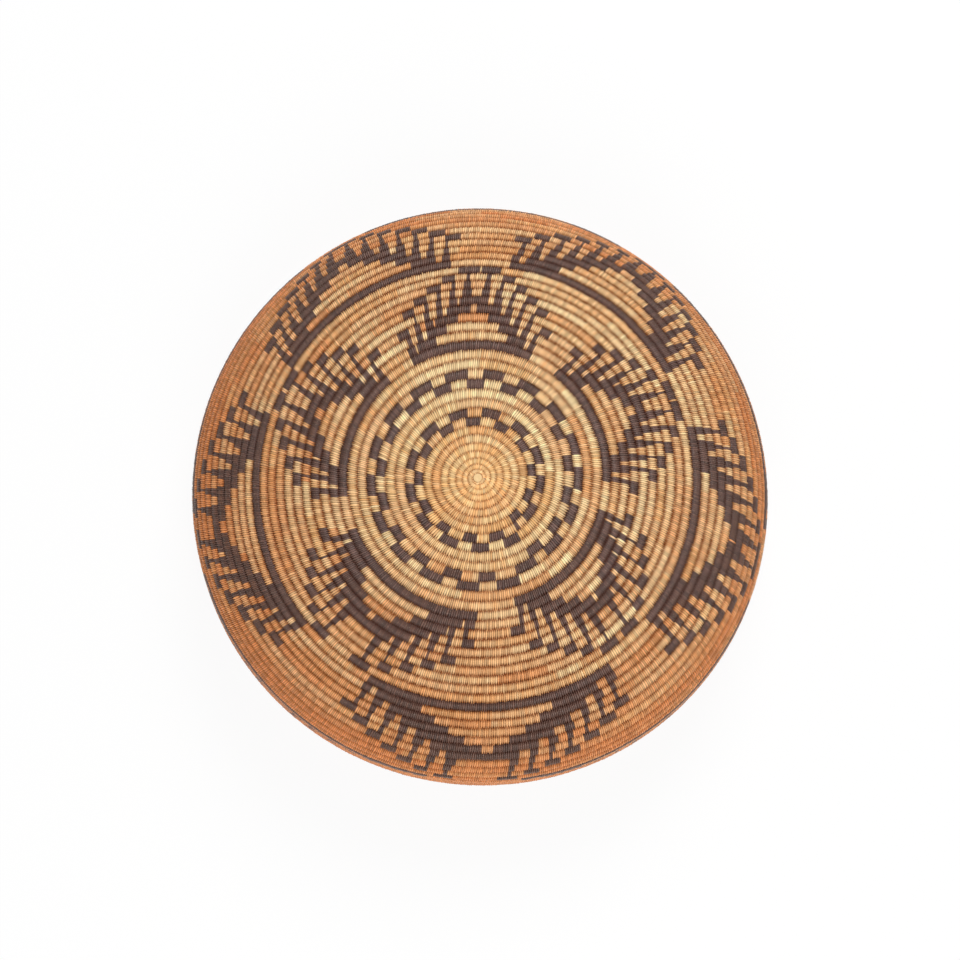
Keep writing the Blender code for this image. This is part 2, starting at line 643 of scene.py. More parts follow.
    def sway_out(self, length: np.ndarray, angle: np.ndarray) -> np.ndarray:
        """Add up the soft dents of the crown.

        Args:
            length: Length along the meridian of each point.
            angle: Angle about +Z of each point, in radians.

        Returns:
            How far the crown's surface stands off the even one.
        """
        top_length = self.flat_base_radius + self.crown_length
        share = np.sin(np.pi * np.clip(length / top_length, 0.0, 1.0))
        waves = sum(wave.share * np.sin(wave.count * angle + wave.phase + wave.twist * length)
                    for wave in self.surface_waves)
        return self.surface_sway * waves * share

    def place(self, length: np.ndarray, outward: np.ndarray, angle: np.ndarray) -> np.ndarray:
        """Return points that lie off the meridian.

        Args:
            length: Length along the meridian of each point.
            outward: Distance off the meridian of each point.
            angle: Angle about +Z of each point, in radians.

        Returns:
            The points, with x, y and z on the last axis.
        """
        radius, depth, slope = self.meridian(length)
        off = outward + self.sway_out(length, angle)
        flat = radius + off * np.sin(slope)
        shift = self.drift(length, angle)
        up = np.maximum(self.height - depth + off * np.cos(slope), 0.0)
        return np.stack([flat * np.cos(angle) + shift[0], flat * np.sin(angle) + shift[1], up],
                        axis=-1)


# The finishes


@dataclass(frozen=True)
class PalmFinish:
    """Split palm leaf, dried and sewn flat: matt, faintly waxy, with fibres along each strip.

    To the eye each strip has a tone of its own and its ridge catches a thin dull
    highlight from its gloss. The slits and seams between strips are painted darker:
    painted shade of these hollows, with some dirt.
    An edge is where an effect starts and where it ends, and a change is the least
    and the most that it does.
    """

    name: str
    pale: str
    deep: str
    flushed: str
    # seam and slit are colours of painted shade, with some dirt: the brown painted toward the
    # seams between courses and the dark painted into the slits between stitches
    seam: str
    slit: str
    roughness: float
    bump: float
    # Pale flecks on the ridges: on natural palm a painted highlight, on dyed palm partly scuffing
    # and partly a painted glint
    scuff_and_glint: str
    scuff_and_glint_share: float
    gloss: float
    # Painted shade of the slits: how dark, over which clearness, and how much is left on the crest
    # away from a seam
    slit_shade: float = 0.95
    slit_edge: tuple[float, float] = (0.05, 0.82)
    crest_slit_share: float = 0.6
    crest_edge: tuple[float, float] = (0.2, 0.8)
    # Painted shade of the seams, with some dirt: how strong, over which nearness, and its change
    # from stitch to stitch
    seam_shade: float = 0.85
    seam_edge: tuple[float, float] = (0.2, 0.95)
    seam_change: tuple[float, float] = (0.58, 1.2)
    seam_seed: float = 13.0
    stitch_change: tuple[float, float] = (0.77, 1.24)
    streak_change: tuple[float, float] = (0.9, 1.1)
    roughness_change: tuple[float, float] = (-0.07, 0.12)
    # Palm leaf has a vein every 0.2 mm or so, and its streaks run on for about 9 mm. Both are
    # drawn at that size: they show close up, and from afar give the strips a faint grain
    fibre_width: float = 0.00022
    fibre_length: float = 0.009
    fibre_height: float = 0.0001
    fibre_edge: tuple[float, float] = (0.3, 0.7)
    fibre_seed: float = 350.0
    # Flecks on the ridges, partly scuffing and partly a painted highlight, are a little over 1 mm,
    # less than a stitch is wide
    fleck_size: float = 0.0011
    fleck_edge: tuple[float, float] = (0.58, 0.7)
    ior: float = 1.45

    def make(self) -> bpy.types.Material:
        """Make the node material.

        Returns:
            The material, which reads the attributes strip and tone of its mesh.
        """
        material = bpy.data.materials.new(self.name)
        tree = empty_tree(material)
        strip = add_node(tree, "ShaderNodeAttribute", attribute_name="strip")
        tone = add_node(tree, "ShaderNodeAttribute", attribute_name="tone")
        on_strip = add_node(tree, "ShaderNodeSeparateXYZ", {0: strip.outputs["Vector"]})
        of_strip = add_node(tree, "ShaderNodeSeparateXYZ", {0: tone.outputs["Vector"]})
        fibre_place = add_node(tree, "ShaderNodeCombineXYZ")
        for axis, (place, scale) in enumerate(((on_strip.outputs[0], 1.0 / self.fibre_width),
                                               (on_strip.outputs[1], 1.0 / self.fibre_length),
                                               (of_strip.outputs[2], self.fibre_seed))):
            scaled = add_node(tree, "ShaderNodeMath", {0: place, 1: scale}, operation="MULTIPLY")
            tree.links.new(scaled.outputs[0], fibre_place.inputs[axis])
        fibre = add_node(tree, "ShaderNodeTexNoise",
                         {"Vector": fibre_place.outputs[0], "Scale": 1.0, "Detail": 2.0,
                          "Roughness": 0.6})
        body = add_node(tree, "ShaderNodeMix",
                        {0: of_strip.outputs[0], 6: linear(self.pale), 7: linear(self.deep)},
                        data_type="RGBA")
        flushed = add_node(tree, "ShaderNodeMix",
                           {0: of_strip.outputs[1], 6: body.outputs[2], 7: linear(self.flushed)},
                           data_type="RGBA")
        streak = add_node(tree, "ShaderNodeMapRange",
                          {0: fibre.outputs[0], 1: self.fibre_edge[0], 2: self.fibre_edge[1],
                           3: self.streak_change[0], 4: self.streak_change[1]})
        own = add_node(tree, "ShaderNodeMapRange",
                       {0: of_strip.outputs[2], 3: self.stitch_change[0],
                        4: self.stitch_change[1]})
        light = add_node(tree, "ShaderNodeMath", {0: streak.outputs[0], 1: own.outputs[0]},
                         operation="MULTIPLY")
        streaked = add_node(tree, "ShaderNodeVectorMath",
                            {0: flushed.outputs[2], 3: light.outputs[0]}, operation="SCALE")
        place = add_node(tree, "ShaderNodeTexCoord")
        # Pale flecks, partly scuffing and partly a painted highlight, kept on the ridges and out
        # of the slits
        fleck = add_node(tree, "ShaderNodeTexNoise",
                         {"Vector": place.outputs["Object"], "Scale": 1.0 / self.fleck_size,
                          "Detail": 1.0})
        scuffed_glint = add_node(tree, "ShaderNodeMapRange",
                          {0: fleck.outputs[0], 1: self.fleck_edge[0], 2: self.fleck_edge[1],
                           3: 0.0, 4: self.scuff_and_glint_share})
        scuffed_glint = add_node(tree, "ShaderNodeMath", {0: scuffed_glint.outputs[0], 1: on_strip.outputs[2]},
                          operation="MULTIPLY")
        surface = add_node(tree, "ShaderNodeMix",
                           {0: scuffed_glint.outputs[0], 6: streaked.outputs[0], 7: linear(self.scuff_and_glint)},
                           data_type="RGBA")
        # Painted shade: the slits between stitches are darkened, less on the crest than near a
        # seam
        near_seam = add_node(tree, "ShaderNodeMapRange",
                             {0: strip.outputs["Alpha"], 1: self.crest_edge[0],
                              2: self.crest_edge[1], 3: self.crest_slit_share, 4: 1.0})
        slit = add_node(tree, "ShaderNodeMapRange",
                        {0: on_strip.outputs[2], 1: self.slit_edge[0], 2: self.slit_edge[1],
                         3: self.slit_shade, 4: 0.0})
        slit_shade = add_node(tree, "ShaderNodeMath", {0: slit.outputs[0], 1: near_seam.outputs[0]},
                             operation="MULTIPLY")
        other = add_node(tree, "ShaderNodeMath", {0: of_strip.outputs[2], 1: self.seam_seed},
                         operation="MULTIPLY")
        other = add_node(tree, "ShaderNodeMath", {0: other.outputs[0]}, operation="FRACT")
        other = add_node(tree, "ShaderNodeMapRange",
                         {0: other.outputs[0], 3: self.seam_change[0], 4: self.seam_change[1]})
        # Painted shade of the seams between courses, with some dirt: the colour goes toward the
        # seam brown near each seam, then toward the slit dark in the slits
        seam = add_node(tree, "ShaderNodeMapRange",
                        {0: strip.outputs["Alpha"], 1: self.seam_edge[0], 2: self.seam_edge[1],
                         3: 0.0, 4: self.seam_shade},
                        interpolation_type="SMOOTHSTEP")
        seam = add_node(tree, "ShaderNodeMath", {0: seam.outputs[0], 1: other.outputs[0]},
                        operation="MULTIPLY")
        seam_shaded = add_node(tree, "ShaderNodeMix",
                           {0: seam.outputs[0], 6: surface.outputs[2], 7: linear(self.seam)},
                           data_type="RGBA", clamp_result=True)
        colour = add_node(tree, "ShaderNodeMix",
                          {0: slit_shade.outputs[0], 6: seam_shaded.outputs[2], 7: linear(self.slit)},
                          data_type="RGBA")
        rough = add_node(tree, "ShaderNodeMapRange",
                         {0: fibre.outputs[0], 1: self.fibre_edge[0], 2: self.fibre_edge[1],
                          3: self.roughness + self.roughness_change[0],
                          4: self.roughness + self.roughness_change[1]})
        relief = add_node(tree, "ShaderNodeBump",
                          {"Height": fibre.outputs[0], "Strength": self.bump,
                           "Distance": self.fibre_height})
        shader = add_node(tree, "ShaderNodeBsdfPrincipled",
                          {"Base Color": colour.outputs[2], "Roughness": rough.outputs[0],
                           "Metallic": 0.0, "IOR": self.ior, "Specular IOR Level": self.gloss,
                           "Normal": relief.outputs[0]})
        add_node(tree, "ShaderNodeOutputMaterial", {"Surface": shader.outputs[0]})
        return material


# Sun-dried leaf: straw where it is fresh, honey and orange brown where it has aged, which toward
# the rim is partly painted shade of the steep wall
NATURAL_PALM = PalmFinish(
    "natural_palm_split_and_sewn", pale="#fde4b0", deep="#e8b679", flushed="#dc8e56",
    seam="#8f4614", slit="#4a1f0a", roughness=0.5, bump=0.5, scuff_and_glint="#fff0cc", scuff_and_glint_share=0.15, gloss=0.2)
# Leaf boiled in a brown-black dye: a little smoother, with grey flecks on its ridges that are
# partly scuffing and partly a painted glint
DYED_PALM = PalmFinish(
    "dyed_palm_split_and_sewn", pale="#644a42", deep="#563c35", flushed="#5c3c2c",
    seam="#4a2110", slit="#1c0c06", roughness=0.42, bump=0.5, scuff_and_glint="#9a8474", scuff_and_glint_share=0.4, gloss=0.55,
    stitch_change=(0.62, 1.42))


# The stitched coil


@dataclass(frozen=True)
class StitchShape:
    """Sizes of one stitch, and the points of its loop round the bundle.

    A stitch is widest on the crest and ends in a tooth that reaches over the
    next course. The loop's angles start at the outer seam and go up over the crest.
    A start share is what a size has at the knot, of what it has in the full coil.
    """

    pitch: float = 0.0015
    jitter: float = 0.22
    fewest: int = 3
    slit_depth: float = 0.00034
    seam_slit_depth: float = 0.0016
    seam_overlap: float = 0.0001
    outer_tooth: float = 0.0021
    inner_tooth: float = 0.0006
    lean: float = -0.75
    lean_change: float = 0.4
    lean_waves: float = 9.0
    lean_jitter: float = 0.15
    tooth_jitter: float = 0.55
    height_change: float = 0.00009
    side_power: float = 0.88
    face_power: float = 0.9
    start_face_power: float = 0.76
    start_width_share: float = 0.88
    start_tooth_share: float = 0.5
    start_tooth_power: float = 0.2
    start_depth_share: float = 0.2
    start_seam_depth_share: float = 0.45
    # At the knot the slits get little painted shade, except near the seams
    start_slit_share: float = 0.12
    curl_inset: float = 0.0003
    curl_thinnest: float = 0.35
    curl_growth: float = 0.0013
    # Strength of the painted shade at the seams, by turn from the knot
    seam_turns: tuple[float, ...] = (0.0, 7.0, 13.0, 18.0, 28.0, 34.0)
    seam_shade_shares: tuple[float, ...] = (0.66, 0.8, 0.9, 1.08, 1.02, 0.72)
    ridges: tuple[float, ...] = (0.3, 0.7)
    loop: tuple[float, ...] = (0.0, 13.0, 29.0, 50.0, 77.0, 103.0, 130.0, 151.0, 167.0, 180.0,
                               204.0, 230.0, 257.0, 283.0, 310.0, 336.0)


@dataclass
class SewingStrips:
    """The palm strips that the coil is sewn with, one after another along the spiral.

    The tone deepens toward the rim, partly real patina and partly painted shade of the
    steep wall, and near the rim one side of the basket is painted deeper as painted shade.
    Depths and flushes are the usual ones at some turns from the knot.
    """

    wall: Wall
    shortest: float = 0.012
    longest: float = 0.07
    samples_per_turn: int = 100
    # Usual depth and flush by turn; their rise toward the rim is partly patina and partly painted
    # shade
    tone_turns: tuple[float, ...] = (0.0, 7.0, 10.0, 17.0, 21.0, 25.0, 31.0, 34.0, 49.0)
    depths: tuple[float, ...] = (0.9, 0.8, 0.34, 0.36, 0.4, 0.5, 0.58, 0.8, 0.84)
    flushes: tuple[float, ...] = (0.16, 0.14, 0.2, 0.38, 0.43, 0.41, 0.65, 0.95, 0.95)
    # Painted shade: toward the rim the side facing this angle is deeper
    shaded_side: float = math.radians(215.0)
    side_shade_change: float = 0.22
    depth_change: float = 0.24
    flush_change: float = 0.14
    stitch_change: float = 0.16
    ends: np.ndarray = field(init=False)
    tone: np.ndarray = field(init=False)
    table: tuple[np.ndarray, np.ndarray] = field(init=False)

    def __post_init__(self) -> None:
        """Draw where each strip ends, how deep its tone is and how flushed it is."""
        draw = np.random.default_rng(Seed.STRIPS)
        turns = np.linspace(-1.0, self.wall.course_count,
                            self.samples_per_turn * (self.wall.course_count + 1))
        radius = self.wall.meridian(self.wall.seam_length(np.maximum(turns + 0.5, 0.0)))[0]
        steps = math.tau * radius * np.gradient(turns)
        self.table = (turns, np.cumsum(steps))
        count = int(self.table[1][-1] / self.shortest) + 1
        lengths = draw.uniform(self.shortest, self.longest, count)
        self.ends = np.cumsum(lengths)
        starts = np.interp(self.ends - lengths, self.table[1], turns)
        outward = np.clip(starts / self.wall.course_count, 0.0, 1.0)
        # Painted shade on one side of the basket, growing toward the rim
        side = self.side_shade_change * np.cos(math.tau * starts - self.shaded_side) * outward
        tone = [draw.normal(np.interp(starts, self.tone_turns, usual) + side, change)
                for usual, change in ((self.depths, self.depth_change),
                                      (self.flushes, self.flush_change))]
        self.tone = np.clip(np.stack(tone, axis=-1), 0.0, 1.0)

    def tones(self, turns: np.ndarray) -> np.ndarray:
        """Return depth and flush of the strip at each place, given in turns from the knot."""
        distance = np.interp(turns, *self.table)
        return self.tone[np.searchsorted(self.ends, distance)]


@dataclass
class SewnCourse:
    """One turn of the stitched coil, as a natural piece and a dyed piece where it has both.

    Fields hold the turn's number, the CAD node that it stands for, its first
    and last place in turns from the knot, and whether it is the rim or the short
    curl round the knot.
    """

    number: int
    node: str
    wall: Wall
    shape: StitchShape
    strips: SewingStrips
    first: float
    last: float
    rim: bool = False
    curl: bool = False
    edges: np.ndarray = field(init=False)

    def __post_init__(self) -> None:
        """Divide the turn into stitches of uneven width."""
        draw = self.draw(Seed.WIDTHS)
        middle = np.array([0.5 * (self.first + self.last)])
        inner, outer = self.seams(middle)
        radius = float(self.wall.meridian(0.5 * (inner + outer))[0][0])
        width = self.shape.pitch * grown_from(self.shape.start_width_share, self.growth(middle))[0]
        count = max(self.shape.fewest, round(math.tau * radius * (self.last - self.first) / width))
        widths = 1.0 + self.shape.jitter * draw.uniform(-1.0, 1.0, count)
        places = np.concatenate([[0.0], np.cumsum(widths)]) / widths.sum()
        self.edges = self.first + (self.last - self.first) * places

    def draw(self, kind: Seed) -> np.random.Generator:
        """Return the turn's own random draws of one kind."""
        return np.random.default_rng(kind + self.number + (Seed.CURL if self.curl else 0))

    def growth(self, turns: np.ndarray) -> np.ndarray:
        """Return how far the coil has grown to full size, from 0 at the knot to 1."""
        return np.clip((turns + 0.5) / self.wall.growth_turns, 0.0, 1.0)

    def seams(self, turns: np.ndarray) -> tuple[np.ndarray, np.ndarray]:
        """Find the seams at both sides of the coil.

        Args:
            turns: Turns from the knot.

        Returns:
            Meridian lengths of the inner seam and of the outer one.
        """
        if self.curl:
            inner = self.wall.start_knot_radius - self.shape.curl_inset
            return np.full(turns.shape, inner), self.wall.seam(turns)
        outer = np.minimum(self.wall.seam(turns + 1.0), self.wall.end_length)
        return self.wall.seam(turns), outer

    def columns(self) -> tuple[np.ndarray, ...]:
        """Lay out the columns of points: one in each slit and one for each ridge of a stitch.

        Returns:
            Turns, relief and stitch of each column, and the width of each stitch in turns.
        """
        shape = self.shape
        parts = (0.0, *shape.ridges)
        widths = np.diff(self.edges)
        turns = (self.edges[:-1, None] + widths[:, None] * np.array(parts)).ravel()
        turns = np.append(turns, self.edges[-1])
        relief = np.append(np.tile([0.0] + [1.0] * len(shape.ridges), len(widths)), 0.0)
        stitch = np.append(np.repeat(np.arange(len(widths)), len(parts)), len(widths) - 1)
        return turns, relief, stitch, widths

    def points(self) -> tuple[np.ndarray, np.ndarray, np.ndarray]:
        """Return all points of the turn and how much painted shade of slits and seams each gets.

        Returns:
            Points by column and place in the loop, how clear of a slit each is, and
            how near a seam, both up to about 1, which the finishes turn into painted
            shade; near the knot the sewing is tighter and its painted shade fainter.
        """
        shape, wall = self.shape, self.wall
        turns, relief, stitch, widths = self.columns()
        draw = self.draw(Seed.STITCHES)
        grown = self.growth(turns)
        inner, outer = self.seams(turns)
        half, middle = 0.5 * (outer - inner), 0.5 * (outer + inner)
        thickness = (wall.start_coil_thickness
                     + (wall.coil_thickness - wall.start_coil_thickness) * grown)
        if self.rim:
            thickness = thickness * grown_from(wall.tail_thickness_share,
                                               2.0 * half / wall.coil_pitch)
        if self.curl:
            thickness = thickness * np.clip(shape.curl_thinnest + half / shape.curl_growth,
                                            shape.curl_thinnest, 1.0)
        raised = 0.5 * (wall.coil_thickness - thickness)
        count = len(widths)
        lift = shape.height_change * draw.normal(0.0, 1.0, count)[stitch] * grown
        tooth_change = (1.0 + shape.tooth_jitter * draw.uniform(-1.0, 1.0, count))[stitch]
        wander = smooth_noise(shape.lean_waves * turns, 1.0, Seed.LEAN)
        lean = shape.lean * (1.0 + shape.lean_change * wander
                             + shape.lean_jitter * relief
                             * draw.uniform(-1.0, 1.0, count)[stitch])
        step = np.append(widths, widths[-1])[stitch] if count > 1 else widths[stitch]
        loop = np.radians(np.array(shape.loop))
        side = np.sign(np.cos(loop)) * np.abs(np.cos(loop)) ** shape.side_power
        power = shape.start_face_power + (shape.face_power - shape.start_face_power) * grown
        face = np.sign(np.sin(loop)) * np.abs(np.sin(loop)) ** power[:, None]
        # Rounding leaves a tiny value at the inner seam, where the loop has to lie at mid-height
        face[np.abs(face) < 1e-3] = 0.0
        tooth = np.where(side > 0.0, shape.outer_tooth, shape.inner_tooth) * np.cos(loop) ** 2
        tooth = tooth * (grown_from(shape.start_tooth_share, grown)
                         * grown**shape.start_tooth_power * relief * tooth_change)[:, None]
        reach = side * (half[:, None] + shape.seam_overlap) + np.sign(side) * tooth
        length = np.minimum(middle[:, None] + reach, wall.end_length)
        depth = (shape.slit_depth * grown_from(shape.start_depth_share, grown)[:, None]
                 + shape.seam_slit_depth * side**2
                 * grown_from(shape.start_seam_depth_share, grown)[:, None])
        depth = depth * (1.0 - relief)[:, None]
        rise = np.abs(face) * (0.5 * thickness + relief * lift)[:, None] - depth
        outward = raised[:, None] + np.sign(face) * np.maximum(rise, 0.0)
        angle = math.tau * (turns[:, None] + 0.5 * side * (lean * step)[:, None])
        # Painted shade: clear sets the slit shade and near_seam the seam shade that the finishes
        # paint
        slit_share = grown_from(shape.start_slit_share, grown)
        clear = 1.0 - (1.0 - relief)[:, None] * np.maximum(slit_share[:, None], side**2)
        seam_shade_share = np.interp(turns, shape.seam_turns, shape.seam_shade_shares)
        near_seam = np.abs(side) * seam_shade_share[:, None]
        return wall.place(length, outward, angle), clear, near_seam

    def tones(self, middles: np.ndarray) -> np.ndarray:
        """Draw the tone of each stitch about the one of its strip, which lasts many stitches.

        Args:
            middles: Middle of each stitch, in turns from the knot.

        Returns:
            Depth, flush and seed of each stitch.
        """
        draw = self.draw(Seed.TONES)
        tone = np.zeros((len(middles), 3))
        tone[:, :2] = self.strips.tones(middles - (1.0 if self.curl else 0.0))
        change = draw.normal(0.0, self.strips.stitch_change, len(middles))
        tone[:, 0] = np.clip(tone[:, 0] + change, 0.0, 1.0)
        tone[:, 2] = draw.uniform(0.0, 1.0, len(middles))
        return tone

    def build(self, materials: dict[Palm, bpy.types.Material]) -> None:
        """Build the course's pieces, named after the CAD node that they stand for, and hide it.

        Args:
            materials: Material of each kind of palm.
        """
        relief = self.columns()[1]
        middles = 0.5 * (self.edges[:-1] + self.edges[1:])
        angle = np.mod(middles, 1.0) * FULL_TURN
        dyed = pattern(self.number, angle) if not self.curl else np.zeros(len(middles), bool)
        tone = self.tones(middles)
        points, clear, near_seam = self.points()
        for palm, chosen in ((Palm.NATURAL, ~dyed), (Palm.DYED, dyed)):
            if not chosen.any():
                continue
            name = f"{self.node}_{palm.name.lower()}_stitches"
            if self.curl:
                name = "start_curl_natural_stitches"
            piece = self.sleeves(name, chosen, points, np.stack([clear, near_seam], axis=-1),
                                 relief, tone)
            piece.data.materials.append(materials[palm])
            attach(piece, "root")
            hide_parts(self.node)
            log.info("%s: %d stitches, %d faces", name, int(chosen.sum()),
                     len(piece.data.polygons))

    def sleeves(self, name: str, chosen: np.ndarray, points: np.ndarray, slit_seam_shade: np.ndarray,
                relief: np.ndarray, tone: np.ndarray) -> bpy.types.Object:
        """Build one closed sleeve for each run of neighbouring chosen stitches.

        Args:
            name: Name of the new object.
            chosen: True for each stitch that goes into the piece.
            points: Points of the turn by column and place in the loop.
            slit_seam_shade: How clear of a slit and how near a seam each point is, in the
            same order, which set its painted shade.
            relief: One on a ridge and zero in a slit, by column.
            tone: Depth, flush and seed of each stitch.

        Returns:
            The object, linked to the scene.
        """
        per_stitch = len(self.shape.ridges) + 1
        around = points.shape[1]
        padded = np.concatenate([[False], chosen, [False]])
        starts = np.flatnonzero(padded[1:] & ~padded[:-1])
        stops = np.flatnonzero(~padded[1:] & padded[:-1])
        steps = np.linalg.norm(np.roll(points, -1, axis=1) - points, axis=2)
        along = np.concatenate([np.zeros((len(points), 1)), np.cumsum(steps, axis=1)], axis=1)
        vertices, quads, caps, strip, face_tone, ridge = [], [], [], [], [], []
        base = 0
        for start, stop in zip(starts, stops):
            first, last = start * per_stitch, stop * per_stitch
            columns = last - first + 1
            vertices.append(points[first:last + 1].reshape(-1, 3))
            ridge.append(np.repeat(relief[first:last + 1], around))
            column, place = np.meshgrid(np.arange(columns - 1), np.arange(around), indexing="ij")
            after = (place + 1) % around
            here, there = base + column * around, base + (column + 1) * around
            quads.append(np.stack([here + place, there + place, there + after, here + after],
                                  axis=-1).reshape(-1, 4))
            stitch = (first + column) // per_stitch
            face_tone.append(tone[stitch].reshape(-1, 3))
            step = column % per_stitch
            side_of = np.array((0.0, *self.shape.ridges, 1.0)) - 0.5
            pitch = self.shape.pitch
            corners = np.zeros((*column.shape, 4, 4))
            for corner, (ahead, beyond) in enumerate(((0, 0), (1, 0), (1, 1), (0, 1))):
                corners[:, :, corner, 0] = side_of[step + ahead] * pitch
                corners[:, :, corner, 1] = along[first + column + ahead, place + beyond]
                corners[:, :, corner, 2:] = slit_seam_shade[first + column + ahead,
                                                 (place + beyond) % around]
            strip.append(corners.reshape(-1, 4))
            caps.append(base + np.arange(around))
            caps.append(base + (columns - 1) * around + np.arange(around)[::-1])
            base += columns * around
        quad_faces = np.concatenate(quads)
        cap_faces = np.stack(caps)
        corner_vertices = np.concatenate([quad_faces.ravel(), cap_faces.ravel()])
        sizes = np.concatenate([np.full(len(quad_faces), 4), np.full(len(cap_faces), around)])
        loop_starts = np.concatenate([[0], np.cumsum(sizes)[:-1]])
        mesh = bpy.data.meshes.new(name)
        mesh.vertices.add(base)
        mesh.loops.add(len(corner_vertices))
        mesh.polygons.add(len(sizes))
        mesh.vertices.foreach_set("co", np.concatenate(vertices).astype(np.float32).ravel())
        mesh.loops.foreach_set("vertex_index", corner_vertices.astype(np.int32))
        mesh.polygons.foreach_set("loop_start", loop_starts.astype(np.int32))
        mesh.update(calc_edges=True)
        mesh.shade_smooth()
        self.crease(mesh, np.concatenate(ridge))
        # The end caps get zeros, which paint them with slit shade
        write_palm(mesh, np.concatenate([*strip, np.zeros((cap_faces.size, 4))]),
                   np.concatenate([*face_tone, np.full((len(cap_faces), 3), 0.5)]))
        return add_object(name, mesh)

    @staticmethod
    def crease(mesh: bpy.types.Mesh, ridge: np.ndarray) -> None:
        """Keep the slits between stitches sharp while the ridges are shaded smooth.

        Args:
            mesh: Mesh of the sleeves.
            ridge: One on a ridge and zero in a slit, by vertex.
        """
        ends = np.zeros(2 * len(mesh.edges), np.int32)
        mesh.edges.foreach_get("vertices", ends)
        ends = ends.reshape(-1, 2)
        sharp = (ridge[ends[:, 0]] < 0.5) & (ridge[ends[:, 1]] < 0.5)
        marks = mesh.attributes.new("sharp_edge", "BOOLEAN", "EDGE")
        marks.data.foreach_set("value", sharp)


@dataclass
class StartKnot:
    """The button that the coil starts from: a small dome of palm strips drawn over the end."""

    wall: Wall
    radius: float = 0.0038
    dome: float = 0.0013
    dome_power: int = 8
    proud: float = 0.0006
    dip: float = 0.3
    dip_share: float = 0.35
    swirl: float = 0.09
    oval: float = 0.06
    oval_turn: float = 1.0
    ridge_width: float = 0.03
    ridge_height: float = 0.00014
    strips: int = 7
    points_per_strip: int = 4
    rings: int = 7
    tone: tuple[float, float, float] = (0.4, 0.1, 0.3)
    edge_shade_power: int = 4

    def points(self) -> list[tuple[float, float, float]]:
        """Lay out the dome before it drifts with the wall.

        Returns:
            The middle point, those of the rings, and those of the flat bottom.
        """
        wall = self.wall
        top = wall.height + 0.5 * wall.coil_thickness + self.proud
        bottom = top - self.proud - wall.start_coil_thickness
        around = self.points_per_strip * self.strips
        turns = np.arange(around) / around
        ridge = 0.5 - 0.5 * np.cos(math.tau * turns * self.strips)
        points = [(0.0, 0.0, top - self.dip * self.dome)]
        for share in np.linspace(0.0, 1.0, self.rings + 1)[1:]:
            lift = -self.dome * (share**self.dome_power
                                 + self.dip * math.exp(-(share / self.dip_share) ** 2))
            for turn, rise in zip(turns, ridge):
                angle = math.tau * (turn + self.swirl * share)
                oval = self.oval * math.cos(2.0 * angle - self.oval_turn)
                radius = self.radius * share * (1.0 + self.ridge_width * rise + oval)
                height = top + lift + self.ridge_height * rise * share
                points.append((radius * math.cos(angle), radius * math.sin(angle), height))
        for turn in turns:
            angle = math.tau * (turn + self.swirl)
            points.append((self.radius * math.cos(angle), self.radius * math.sin(angle), bottom))
        return points

    def faces(self) -> list[tuple[int, ...]]:
        """Join the points, which are in the order that the rings have from the middle out.

        Returns:
            The faces of the tip, of the rings and of the bottom, by numbers of points.
        """
        around = self.points_per_strip * self.strips
        faces = [(0, 1 + i, 1 + (i + 1) % around) for i in range(around)]
        for ring in range(self.rings):
            inner, outer = 1 + ring * around, 1 + (ring + 1) * around
            faces += [(inner + i, outer + i, outer + (i + 1) % around, inner + (i + 1) % around)
                      for i in range(around)]
        last = 1 + self.rings * around
        return [*faces, tuple(last + i for i in reversed(range(around)))]

    def build(self, materials: dict[Palm, bpy.types.Material]) -> None:
        """Build the knot as a closed dome with a ridge for each strip.

        Args:
            materials: Material of each kind of palm.
        """
        shift = self.wall.drift(np.array(0.0), np.array(0.0))
        vertices = [(x + float(shift[0]), y + float(shift[1]), z) for x, y, z in self.points()]
        mesh = bpy.data.meshes.new("start_knot_button")
        mesh.from_pydata(vertices, [], self.faces())
        mesh.shade_smooth()
        places = np.array([vertices[corner.vertex_index] for corner in mesh.loops])
        strip = np.ones((len(places), 4))
        strip[:, 0], strip[:, 1] = places[:, 0], places[:, 1]
        share = np.hypot(places[:, 0] - shift[0], places[:, 1] - shift[1]) / self.radius
        # Painted shade: the knot's edge gets the seam shade, growing toward its rim
        strip[:, 3] = share**self.edge_shade_power
        write_palm(mesh, strip, np.tile(np.array(self.tone), len(mesh.polygons)))
        mesh.materials.append(materials[Palm.NATURAL])
        piece = add_object("start_knot_button", mesh)
        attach(piece, "root")
        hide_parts("start_knot")
        log.info("start_knot_button: %d faces", len(mesh.polygons))


@dataclass
class Basket:
    """The whole basket: the knot, its curl, the sewn courses and the rim."""

    wall: Wall = field(default_factory=Wall)
    shape: StitchShape = field(default_factory=StitchShape)
    curl_start: float = 0.06

    def build(self) -> None:
        """Build all the pieces from the knot to the rim."""
        materials = {Palm.NATURAL: NATURAL_PALM.make(), Palm.DYED: DYED_PALM.make()}
        strips = SewingStrips(self.wall)
        StartKnot(self.wall).build(materials)
        SewnCourse(0, "start_knot", self.wall, self.shape, strips, self.curl_start, 1.0,
                   curl=True).build(materials)
        for number in range(self.wall.course_count):
            rim = number == self.wall.course_count - 1
            node = "rim_coil" if rim else f"coil_{number + 1:02d}"
            share = self.wall.tail_turns if rim else 1.0
            SewnCourse(number, node, self.wall, self.shape, strips, float(number),
                       number + share, rim=rim).build(materials)


# The studio


@dataclass(frozen=True)
class Lamp:
    """A soft square lamp that faces the basket."""

    name: str
    place: tuple[float, float, float]
    side: float
    power: float


